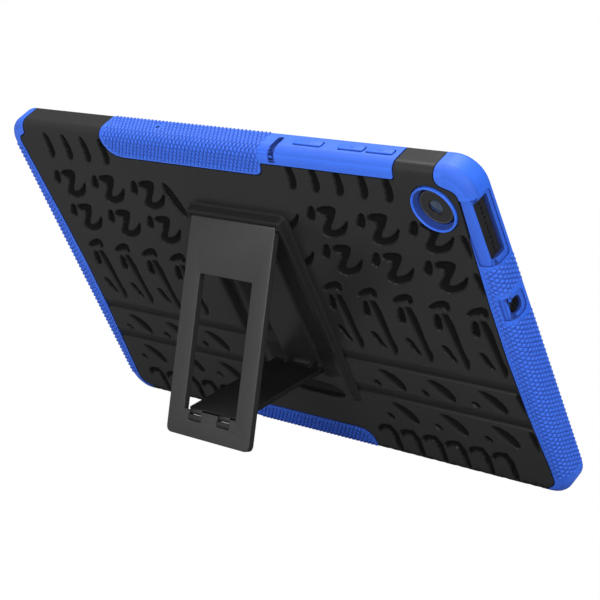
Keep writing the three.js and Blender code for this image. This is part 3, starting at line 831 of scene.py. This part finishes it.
leg = {"halfWidth": 23.6, "thickness": 3.0, "windowHalf": 14.75, "windowTop": 22.4, "windowBottom": 79.4,
       "slotBottom": 82.4, "slotHalf": 3.4, "hookOffset": 8.05, "cornerReach": 3.0, "edge": 0.35,
       "catchAt": 81.2, "catchRadius": 1.3, "catchEnds": 0.3, "catchLift": 0.2, "sill": 1.3, "edgePaintedShade": 0.8}
restHeight = flatHalfV * math.cos(leanAngle) + caseBody["backRound"] * (1 - math.sin(leanAngle))
leg["length"] = restHeight + standPlace["pivotV"] * math.cos(leanAngle)
leg["length"] -= standPlace["pivotW"] * math.sin(leanAngle)


# Painted shade: the leg's edges, and the bars down in its slots, are painted darker than its faces.
def shadeLegEdges(mesh, angle):
    normals = np.array([p.normal for p in mesh.polygons]) @ caseAxes.T
    tilt = np.abs(normals[:, 1:] @ (-math.sin(angle), math.cos(angle)))
    middles = toCase([p.center for p in mesh.polygons]) - hingePlace
    reach = -middles[:, 1] * math.cos(angle) - middles[:, 2] * math.sin(angle)
    height = middles[:, 2] * math.cos(angle) - middles[:, 1] * math.sin(angle)
    inSlot = np.abs(np.abs(middles[:, 0]) - leg["hookOffset"]) < leg["slotHalf"] + 0.4
    inSlot &= (reach > leg["catchAt"] - 1.35) & (reach < leg["slotBottom"] - 0.05)
    inSlot &= np.abs(height) < leg["thickness"] / 2
    setPaintedShade(mesh, np.where((tilt < 0.4) | inSlot, leg["edgePaintedShade"], 0), "FACE")


def buildLeg():
    half, length, reach = leg["halfWidth"], leg["length"], leg["cornerReach"]
    outline = rounded([(-half, -0.2), (-half, -length, reach), (half, -length, reach), (half, -0.2)], 8)
    side, top, bottom, slot = leg["windowHalf"], -leg["windowTop"], -leg["windowBottom"], -leg["slotBottom"]
    inner = [(-side, top, 0.6), (side, top, 0.6), (side, bottom, 0.6)]
    for way in (1, -1):
        middle = way * leg["hookOffset"]
        inner += [(middle + leg["slotHalf"], bottom, 0.3), (middle + leg["slotHalf"], slot, 0.7),
                  (middle - leg["slotHalf"], slot, 0.7), (middle - leg["slotHalf"], bottom, 0.3)]
    inner += [(-side, bottom, 0.6)]
    t = leg["thickness"] / 2
    plate = plateMesh("legPlate", [outline, rounded(inner, 4)], -t, t, leg["edge"])
    parts = [rodMesh(t, -half, half, 0, 0, 0.25)]
    catchHalf = leg["slotHalf"] + leg["catchEnds"]
    for way in (1, -1):  # the bars that the strut's tips catch on
        middle = way * leg["hookOffset"]
        low, high = middle - catchHalf, middle + catchHalf
        parts.append(rodMesh(leg["catchRadius"], low, high, -leg["catchAt"], leg["catchLift"]))
    inside, outside = leg["hookOffset"] - leg["slotHalf"] + 0.1, leg["hookOffset"] + leg["slotHalf"] - 0.1
    for lowX, highX in ((-inside, inside), (-side - 0.5, -outside), (outside, side + 0.5)):
        shape = rectangle(lowX, highX, bottom - 0.6, bottom + leg["sill"], 0.3)
        parts.append(plateMesh("sill", [shape], 0.15, t - 0.02, 0.2))
    angle = -leanAngle
    placed = swung(plate[0], angle, *hingePlace)
    piece = makePiece("legPlate", placed, plate[1], body=None)
    fixNormals(piece.data)
    cutterPoints, cutterFaces = boxMesh(-side, side, top - 2, top + 2.0, -5, 0.4)
    cutterPoints = swung(cutterPoints, angle, *hingePlace)
    cutWith(piece, cutterPoints, cutterFaces)
    points, faces = joined(parts)
    placed = toRow(swung(points, angle, *hingePlace))
    plate = (np.array([v.co for v in piece.data.vertices]), [tuple(p.vertices) for p in piece.data.polygons])
    bpy.data.objects.remove(piece)
    points, faces = joined([plate, (placed, faces)])
    piece = makePiece("standLeg", points, faces, None, standGrey, "leg", inRow=True)
    shadeByAngle(piece, 40)
    shadeLegEdges(piece.data, angle)
    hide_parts("stand_leg")


strut = {"halfWidth": 13.6, "thickness": 2.2, "tipRadius": 1.2, "hookHalf": 3.05, "barrel": 1.3,
         "earOffset": 7.0, "earHalf": 0.9, "earGap": 2.4, "earPaintedShade": 0.7, "edge": 0.3, "lip": 0.9}
tipV = standPlace["pivotV"] - standPlace["tipReach"] * math.cos(leanAngle)
tipW = standPlace["pivotW"] + standPlace["tipReach"] * math.sin(leanAngle)
strutLength = math.hypot(tipV - standPlace["footV"], tipW - standPlace["footW"])
strutAngle = math.atan2(tipW - standPlace["footW"], tipV - standPlace["footV"])


def buildStrut():
    half, t = strut["halfWidth"], strut["thickness"] / 2
    gapHalf = strut["earHalf"] + 0.3
    outline, ears = [(-half, -0.2)], []
    for way in (-1, 1):
        low, high = way * strut["earOffset"] - gapHalf, way * strut["earOffset"] + gapHalf
        outline += [(low, -0.2), (low, strut["earGap"], 0.4), (high, strut["earGap"], 0.4), (high, -0.2)]
        ears += [low, high]
    shoulder = strutLength - strut["lip"]
    outline += [(half, -0.2), (half, shoulder, 0.5)]
    for way in (1, -1):
        middle = way * leg["hookOffset"]
        low, high = middle - strut["hookHalf"], middle + strut["hookHalf"]
        outline += [(high, shoulder, 0.25), (high, strutLength), (low, strutLength), (low, shoulder, 0.25)]
    outline += [(-half, shoulder, 0.5)]
    parts = [plateMesh("strutPlate", [rounded(outline, 4)], -t, t, strut["edge"])]
    for low, high in ((-half, ears[0]), (ears[1], ears[2]), (ears[3], half)):
        parts.append(rodMesh(strut["barrel"], low, high, 0, 0))
    for way in (-1, 1):
        middle = way * leg["hookOffset"]
        low, high = middle - strut["hookHalf"], middle + strut["hookHalf"]
        parts.append(rodMesh(strut["tipRadius"], low, high, strutLength, 0))
    points, faces = joined(parts)
    placed = swung(points, strutAngle, standPlace["centre"], standPlace["footV"], standPlace["footW"])
    piece = makePiece("standStrut", placed, faces, None, strutBlack, "strut")
    fixNormals(piece.data)
    piece.data.set_sharp_from_angle(angle=math.radians(40))
    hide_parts("stand_strut")


def buildEars():
    parts = []
    for way in (-1, 1):
        middle = standPlace["centre"] + way * strut["earOffset"]
        r = strut["barrel"]
        v, w = standPlace["footV"], standPlace["footW"]
        shape = rounded([
            (v - r - 0.5, -0.6), (v + r + 0.5, -0.6), (v + r, w - 0.6), (v + r - 0.2, w + 0.9, 0.8),
            (v - r + 0.2, w + 0.9, 0.8), (v - r, w - 0.6)], 6)
        points, faces = plateMesh("ear", [shape], middle - strut["earHalf"], middle + strut["earHalf"], 0.2)
        parts.append((points[:, [2, 0, 1]], faces))
    points, faces = joined(parts)
    piece = makePiece("strutEars", points, faces, None, shellBlack)
    shadeByAngle(piece, 40)
    # The ears down in the bay get an even painted shade.
    setPaintedShade(piece.data, np.full(len(piece.data.vertices), strut["earPaintedShade"]))


buildLeg()
buildStrut()
buildEars()
print("stand ready")


sleeve = {"groove": (32.5, 36.1), "lip": -11.2, "floorPaintedShade": 0.25, "wallPaintedShade": 0.85}


# The way out of the case's rounded body at each point, and how far in from its outside that is.
def bodyNormals(points):
    halfU, halfV = caseBody["halfU"], caseBody["halfV"]
    corner, back = caseBody["corner"], caseBody["backRound"]
    u, v, w = points.T
    du, dv = np.abs(u) - (halfU - corner), np.abs(v) - (halfV - corner)
    inCorner = (du > 0) & (dv > 0)
    length = np.maximum(np.hypot(du, dv), 1e-9)
    inset = np.where(inCorner, corner - length, np.minimum(halfU - np.abs(u), halfV - np.abs(v)))
    onU = (halfU - np.abs(u)) < (halfV - np.abs(v))
    nu = np.where(inCorner, du / length, onU.astype(float)) * np.sign(u)
    nv = np.where(inCorner, dv / length, (~onU).astype(float)) * np.sign(v)
    rise = np.clip((w + back) / back, 0, 1)
    side = np.sqrt(np.clip(1 - rise ** 2, 0, 1))
    return np.stack([nu * side, nv * side, rise], 1), inset


def backEdgeHeight(inset):
    back = caseBody["backRound"]
    reach = back - np.clip(inset, 0, back)
    return np.where(inset < back, -back + np.sqrt(np.clip(back ** 2 - reach ** 2, 0, None)), 0)


# Painted shade: openings and steps in the sleeve are painted darker than its outside, walls more than floors.
def shadeSleeve(mesh, faceNormals):
    middles = toCase([p.center for p in mesh.polygons])
    along, inset = bodyNormals(middles)
    onBack = middles[:, 2] > -caseBody["backRound"]
    sunk = np.where(onBack, backEdgeHeight(inset) - middles[:, 2], inset)
    facing = (along * faceNormals).sum(1)
    low, high = sleeve["groove"]
    inGroove = (middles[:, 0] > low) & (middles[:, 0] < high) & (middles[:, 1] > 0)
    floor = (facing > 0.8) & ~inGroove
    inOpening = (sunk > 0.06) & (middles[:, 2] > sleeve["lip"])
    setPaintedShade(mesh, np.where(inOpening, np.where(floor, sleeve["floorPaintedShade"], sleeve["wallPaintedShade"]), 0), "FACE")


def buildSleeve():
    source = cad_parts["inner_sleeve"].data
    mesh = source.copy()
    mesh.name = "sleeveBody"
    mesh.materials.clear()
    fixNormals(mesh)
    points = toCase([v.co for v in mesh.vertices])
    normals, inset = bodyNormals(points)
    onBack = np.abs(points[:, 2] - backEdgeHeight(inset)) < 0.03
    onWall = (np.abs(inset) < 0.03) & (points[:, 2] < -caseBody["backRound"] + 0.01)
    onWall &= points[:, 2] > -caseBody["depth"] + 1.45
    outer = onBack | onWall
    faceNormals = np.array([p.normal for p in mesh.polygons]) @ caseAxes.T
    loops = []
    for polygon, flat in zip(mesh.polygons, faceNormals):
        corners = list(polygon.vertices)
        smooth = all(outer[i] for i in corners) and min(float(normals[i] @ flat) for i in corners) > 0.85
        loops += [normals[i] if smooth else flat for i in corners]
    mesh.normals_split_custom_set((np.array(loops) @ caseAxes).tolist())
    shadeSleeve(mesh, faceNormals)
    mesh.materials.append(sleeveBlue)
    piece = bpy.data.objects.new("sleeveBody", mesh)
    bpy.context.scene.collection.objects.link(piece)
    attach(piece, "case")
    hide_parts("inner_sleeve")


buildSleeve()

lensRing = {"outer": 9.75, "inner": 9.05, "throat": 7.6, "rise": 0.95}


def latheRing(name, profile, u, v, material, segments=96, body="case"):
    points, faces = [], []
    count = len(profile)
    for k in range(segments):
        angle = 2 * math.pi * k / segments
        for r, w in profile:
            points.append((u + r * math.cos(angle), v + r * math.sin(angle), w))
    for k in range(segments):
        for i in range(count):
            a, b = k * count + i, k * count + (i + 1) % count
            c, d = (k + 1) % segments * count + (i + 1) % count, (k + 1) % segments * count + i
            faces.append((a, d, c, b))
    piece = makePiece(name, points, faces, None, material, body)
    shadeByAngle(piece, 50)
    return piece


def buildLensRing():
    outer, inner, rise = lensRing["outer"], lensRing["inner"], lensRing["rise"]
    profile = [(outer, -3.0), (outer, rise - 0.4), (outer - 0.1, rise - 0.14), (outer - 0.34, rise),
               (inner + 0.3, rise), (inner + 0.06, rise - 0.14), (inner - 0.04, rise - 0.5),
               (8.72, -1.3), (8.2, -1.5), (8.05, -1.9), (lensRing["throat"] + 0.05, -3.5), (8.9, -3.4)]
    piece = latheRing("lensRing", profile, lensPlace["u"], lensPlace["v"], sleeveBlue)
    height = toCase([v.co for v in piece.data.vertices])[:, 2]
    # Painted shade, darker down towards the throat.
    setPaintedShade(piece.data, np.clip((0.45 - height) / 1.6, 0, 1) * 0.8)


buildLensRing()

grip = {"alongPitch": 2.15, "rowPitch": 1.7, "halfLong": 1.06, "halfShort": 1.6, "rise": 0.55,
        "sunk": 0.12, "topShare": 0.3, "paintedShade": [0.8, 0.7, 0.12, 0.0]}


def gripBumps(name, fold, alongRange, rowRange, allowed):
    rows = np.arange(rowRange[0], rowRange[1], grip["rowPitch"])
    centres = []
    for k, row in enumerate(rows):
        shift = grip["alongPitch"] / 2 * (k % 2)
        for along in np.arange(alongRange[0] + shift, alongRange[1], grip["alongPitch"]):
            centres.append((along, row))
    centres = np.array(centres)
    centres = centres[allowed(centres[:, 0], centres[:, 1])]
    long, short, share = grip["halfLong"], grip["halfShort"], grip["topShare"]
    ring = np.array([(long, 0), (long * 0.52, short * 0.52), (0, short), (-long * 0.52, short * 0.52),
                     (-long, 0), (-long * 0.52, -short * 0.52), (0, -short), (long * 0.52, -short * 0.52)])
    count = len(ring)
    layers = [(1.0, -grip["sunk"]), (0.95, 0.04), (share + 0.34, grip["rise"] * 0.55), (share, grip["rise"])]
    offsets = np.array([(x * scale, y * scale, height) for scale, height in layers for x, y in ring])
    spots = (centres[:, None, :] + offsets[None, :, :2]).reshape(-1, 2)
    heights = np.tile(offsets[:, 2], len(centres))
    points = toRow(fold(spots[:, 0], spots[:, 1], heights))
    points[:, 2] = np.maximum(points[:, 2], 0)  # nothing goes below the table
    faces = []
    per = len(offsets)
    flip = signedArea(fold(np.array([0., 1, 0]), np.array([0., 0, 1]), np.zeros(3))[:, :2]) < 0
    base = []
    for layer in range(len(layers) - 1):
        for i in range(count):
            a, b = layer * count + i, layer * count + (i + 1) % count
            base.append((a, b, b + count, a + count))
    base.append(tuple((len(layers) - 1) * count + i for i in range(count)))
    base.append(tuple(reversed(range(count))))
    for k in range(len(centres)):
        start = k * per
        faces += [tuple(start + i for i in (reversed(side) if flip else side)) for side in base]
    piece = makePiece(name, points, faces, None, sleeveBlue, inRow=True)
    piece.data.set_sharp_from_angle(angle=math.radians(80))
    # Painted shade between the bumps: their bases are painted dark and their tops are not.
    setPaintedShade(piece.data, np.tile(np.repeat(grip["paintedShade"], count), len(centres)))
    print(name, len(centres), "bumps")


padEdge = widened(border, 0.15 + 0.75 + grip["halfLong"] * 0.6)


def clearOfShell(u, s):
    return ~insideOutline(u, s, padEdge)


def onTopPad(u, s):
    nearHole = np.hypot(u + 33.5, s - 83.9) < 2.2
    return clearOfShell(u, s) & (u > -63.2) & (u < 26.5) & ~nearHole & (s > 66.6)


def onBottomPad(u, s):
    return clearOfShell(u, s) & (u > -42) & (u < 27.2) & (s < -66.8)


def onRightWall(v, r):
    speaker = (v > 35.6) & (v < 67.4) & (r > 119.6)
    socket = (v > 10.4) & (v < 23.6) & (r > 122.2)
    return clearOfShell(r, v) & ~speaker & ~socket & (v > -68) & (v < 65.5)


def onLeftWall(v, r):
    plug = (v > -8.4) & (v < 10.9) & (r < -131.5)
    return clearOfShell(r, v) & ~plug & (v > -68) & (v < 66)


gripBumps("gripTop", overLongEdge, (-64, 28), (66.5, 87.0), onTopPad)
gripBumps("gripBottom", overLongEdge, (-43, 28.5), (-87.0, -66), onBottomPad)
gripBumps("gripRight", overShortEdge, (-68, 66), (118.5, 135.6), onRightWall)
gripBumps("gripLeft", overShortEdge, (-68, 66), (-135.6, -118.5), onLeftWall)

buttons = {"low": -9.0, "high": -6.0, "inner": 76.2, "proud": 0.6, "edge": 0.35, "round": 1.1, "paintedShade": 0.8,
           "spans": {"power": (42.5, 56.5), "volume_up": (65.0, 77.0), "volume_down": (78.6, 91.0)}}


def buildButtons():
    top = caseBody["halfV"] + buttons["proud"]
    middleW = (buttons["low"] + buttons["high"]) / 2
    for body, (low, high) in buttons["spans"].items():
        shape = rectangle(low, high, buttons["low"], buttons["high"], buttons["round"], 6)
        parts = [plateMesh(body, [shape], buttons["inner"], top, buttons["edge"])]
        middle = (low + high) / 2
        marks = [(middle - 1.1, middle + 1.1, middleW - 0.28, middleW + 0.28)]
        if body == "volume_up":
            marks.append((middle - 0.28, middle + 0.28, middleW - 1.1, middleW + 1.1))
        if body == "power":
            marks = [(middle - 0.45, middle + 0.45, middleW - 0.45, middleW + 0.45)]
        for lowX, highX, lowY, highY in marks:
            reach = min(highX - lowX, highY - lowY) * 0.45
            mark = rectangle(lowX, highX, lowY, highY, reach)
            parts.append(plateMesh("mark", [mark], top - 0.3, top + 0.18, 0.08))
        points, faces = joined(parts)
        piece = makePiece(body + "Key", points[:, [0, 2, 1]], faces, None, sleeveBlue, body)
        shadeByAngle(piece, 40)
        height = toCase([v.co for v in piece.data.vertices])[:, 1]
        # Painted shade on the key's sides, below its top.
        setPaintedShade(piece.data, np.clip((top - 0.12 - height) / 0.35, 0, 1) * buttons["paintedShade"])
        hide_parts(body + "_button")


buildButtons()
print("sleeve ready")

for name in ("leg_hinge_pin", "strut_hinge_pin"):
    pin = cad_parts[name]
    pin.data.materials.clear()
    pin.data.materials.append(pinSteel)

# A plain tablet fills the case; it is part of the set.
tablet = {"halfU": 122.55, "halfV": 74.55, "corner": 7.3, "back": -3.75, "front": -11.2, "edge": 1.2,
          "lensRise": 2.5, "frame": 3.0, "dotPitch": 2.1}


def buildTablet():
    halfU, halfV = tablet["halfU"], tablet["halfV"]
    outline = rectangle(-halfU, halfU, -halfV, halfV, tablet["corner"] * 1.2, 10)
    points, faces = plateMesh("tabletSlab", [outline], tablet["front"], tablet["back"], tablet["edge"])
    slab = makePiece("tabletSlab", points, faces, None, tabletGrey, None)
    shadeByAngle(slab, 40)
    halfU, halfV = halfU - tablet["frame"], halfV - tablet["frame"]
    screen = rectangle(-halfU, halfU, -halfV, halfV, 5, 8)
    points, faces = plateMesh("tabletScreen", [screen], tablet["front"] - 0.06, tablet["front"] + 0.5, 0.05)
    glass = makePiece("tabletScreen", points, faces, None, tabletGlass, None)
    shadeByAngle(glass, 40)
    back = tablet["back"]
    up = back + tablet["lensRise"]
    rim = [(7.3, back - 0.5), (7.3, up - 0.3), (7.05, up), (6.7, up), (6.5, up - 0.25), (6.5, back - 0.5)]
    cover = [(6.6, back), (6.6, up - 0.2), (3.3, up - 0.18), (3.2, up - 0.5), (0.01, up - 0.55), (0.01, back)]
    dome = [(2.9, back), (2.6, up - 0.45), (1.7, up - 0.15), (0.8, up), (0.01, up + 0.05), (0.01, back)]
    lens = [latheRing(name, profile, *lensCentre, material, 64, None) for name, profile, material in (
        ("tabletLensRim", rim, tabletGrey), ("tabletLensGlass", cover, tabletGlass), ("tabletLens", dome, lensBlue))]
    outside = caseBody["halfU"]
    shape = rectangle(39.7, 64.3, -8.0, -1.8, 0.8)
    points, faces = plateMesh("tabletSpeaker", [shape], outside - 4.4, outside - 1.9, 0.2)
    speaker = makePiece("tabletSpeaker", points[:, [2, 0, 1]], faces, None, shellBlack, None)
    dots = np.arange(41.2, 63.5, tablet["dotPitch"])
    points, faces = joined([rodMesh(0.75, outside - 2.4, outside - 1.82, v, -4.9, 0.2, 16) for v in dots])
    holes = makePiece("tabletSpeakerDots", points, faces, None, tabletGlass, None)
    points, faces = rodMesh(3.0, outside - 4.0, outside - 1.25, 17.0, -4.8, 0.4, 40)
    socket = makePiece("tabletSocket", points, faces, None, tabletGlass, None)
    for piece in (speaker, holes, socket):
        shadeByAngle(piece, 40)


buildTablet()

floorSheet = {"half": 12.0, "steps": 24, "drop": 0.0002, "seenGlow": 0.997}


def buildFloor():
    line = np.linspace(-floorSheet["half"], floorSheet["half"], floorSheet["steps"] + 1)
    points = [(x, y, -floorSheet["drop"]) for x in line for y in line]
    count = len(line)
    corners = [i * count + j for i in range(count - 1) for j in range(count - 1)]
    faces = [(k, k + count, k + count + 1, k + 1) for k in corners]
    material = bpy.data.materials.new("paleFloor")
    material.use_nodes = True
    nodes, link = material.node_tree.nodes, material.node_tree.links.new
    shader = nodes["Principled BSDF"]
    shader.inputs["Base Color"].default_value = (0.8, 0.8, 0.8, 1)
    shader.inputs["Roughness"].default_value = 0.9
    shader.inputs["Specular IOR Level"].default_value = 0.1
    glow = nodes.new("ShaderNodeEmission")
    glow.inputs["Color"].default_value = (1, 1, 1, 1)
    seen = nodes.new("ShaderNodeLightPath")
    share = nodes.new("ShaderNodeMath")
    share.operation = "MULTIPLY"
    share.inputs[1].default_value = floorSheet["seenGlow"]
    mix = nodes.new("ShaderNodeMixShader")
    clear = nodes.new("ShaderNodeBsdfTransparent")
    glossed = nodes.new("ShaderNodeMixShader")
    link(seen.outputs["Is Camera Ray"], share.inputs[0])
    link(share.outputs[0], mix.inputs["Fac"])
    link(shader.outputs["BSDF"], mix.inputs[1])
    link(glow.outputs["Emission"], mix.inputs[2])
    link(seen.outputs["Is Glossy Ray"], glossed.inputs["Fac"])  # gloss reflects the studio instead
    link(mix.outputs["Shader"], glossed.inputs[1])
    link(clear.outputs["BSDF"], glossed.inputs[2])
    link(glossed.outputs["Shader"], nodes["Material Output"].inputs["Surface"])
    floor = makePiece("floor", points, faces, None, material, None, inRow=True)


buildFloor()


# The studio is bright in front of the case and dark behind it, which draws the relief.
studio = {"brightSide": (0.25, -0.95, 0.15), "darkFrom": -0.52, "brightFrom": -0.12, "dark": 0.03,
          "bright": 0.40, "frontFrom": 0.35, "frontTo": 0.7, "front": 0.25}


def buildWorld():
    world = bpy.data.worlds.new("studio")
    bpy.context.scene.world = world
    world.use_nodes = True
    nodes, link = world.node_tree.nodes, world.node_tree.links.new
    plain = nodes["Background"]
    plain.inputs["Color"].default_value = (1, 1, 1, 1)
    plain.inputs["Strength"].default_value = 1.0
    room = nodes.new("ShaderNodeBackground")
    room.inputs["Color"].default_value = (0.98, 0.99, 1, 1)
    place = nodes.new("ShaderNodeTexCoord")
    facing = nodes.new("ShaderNodeVectorMath")
    facing.operation = "DOT_PRODUCT"
    facing.inputs[1].default_value = Vector(studio["brightSide"]).normalized()
    level = nodes.new("ShaderNodeMapRange")
    level.interpolation_type = "SMOOTHSTEP"
    level.inputs["From Min"].default_value = studio["darkFrom"]
    level.inputs["From Max"].default_value = studio["brightFrom"]
    level.inputs["To Min"].default_value = studio["dark"]
    level.inputs["To Max"].default_value = studio["bright"]
    front = nodes.new("ShaderNodeMapRange")
    front.interpolation_type = "SMOOTHSTEP"
    front.inputs["From Min"].default_value = studio["frontFrom"]
    front.inputs["From Max"].default_value = studio["frontTo"]
    front.inputs["To Min"].default_value = 0.0
    front.inputs["To Max"].default_value = studio["front"]
    total = nodes.new("ShaderNodeMath")
    total.operation = "ADD"
    seen = nodes.new("ShaderNodeLightPath")
    mix = nodes.new("ShaderNodeMixShader")
    link(place.outputs["Generated"], facing.inputs[0])
    link(facing.outputs["Value"], level.inputs["Value"])
    link(facing.outputs["Value"], front.inputs["Value"])
    link(level.outputs["Result"], total.inputs[0])
    link(front.outputs["Result"], total.inputs[1])
    link(total.outputs[0], room.inputs["Strength"])
    link(seen.outputs["Is Camera Ray"], mix.inputs["Fac"])
    link(room.outputs["Background"], mix.inputs[1])
    link(plain.outputs["Background"], mix.inputs[2])
    link(mix.outputs["Shader"], nodes["World Output"].inputs["Surface"])


def softLight(name, place, aim, size, power):
    data = bpy.data.lights.new(name, "AREA")
    data.shape = "RECTANGLE"
    data.size, data.size_y = size
    data.energy = power
    lamp = bpy.data.objects.new(name, data)
    lamp.location = place
    lamp.rotation_mode = "QUATERNION"
    lamp.rotation_quaternion = (Vector(aim) - Vector(place)).to_track_quat("-Z", "Y")
    bpy.context.scene.collection.objects.link(lamp)


buildWorld()
softLight("overhead", (-0.15, -0.25, 1.1), (0, 0, 0.05), (0.9, 0.7), 13)
softLight("right", (1.1, -0.5, 0.45), (0.05, 0, 0.06), (0.7, 0.6), 9.5)
softLight("front", (-0.1, -1.3, 0.35), (0, 0, 0.06), (0.9, 0.5), 6)

# The camera's place is in the case's directions, and its own three directions are in the row frame.
view = {"place": (477.69, 375.42, 367.20), "focal": 102.24, "sensor": 36.0, "right": (0.7372, 0.6647, 0.1214),
        "up": (-0.1420, -0.0232, 0.9896), "back": (0.6606, -0.7468, 0.0774)}


def buildCamera():
    data = bpy.data.cameras.new("camera")
    data.sensor_width = view["sensor"]
    data.lens = view["focal"]
    data.clip_start, data.clip_end = 0.01, 20
    holder = bpy.data.objects.new("camera", data)
    bpy.context.scene.collection.objects.link(holder)
    turn = Matrix([view["right"], view["up"], view["back"]]).transposed().to_quaternion().normalized()
    holder.rotation_mode = "QUATERNION"
    holder.rotation_quaternion = turn
    holder.location = Vector(toRow([view["place"]])[0])
    bpy.context.scene.camera = holder


buildCamera()
bpy.context.scene.view_settings.view_transform = "Standard"
print("set ready")
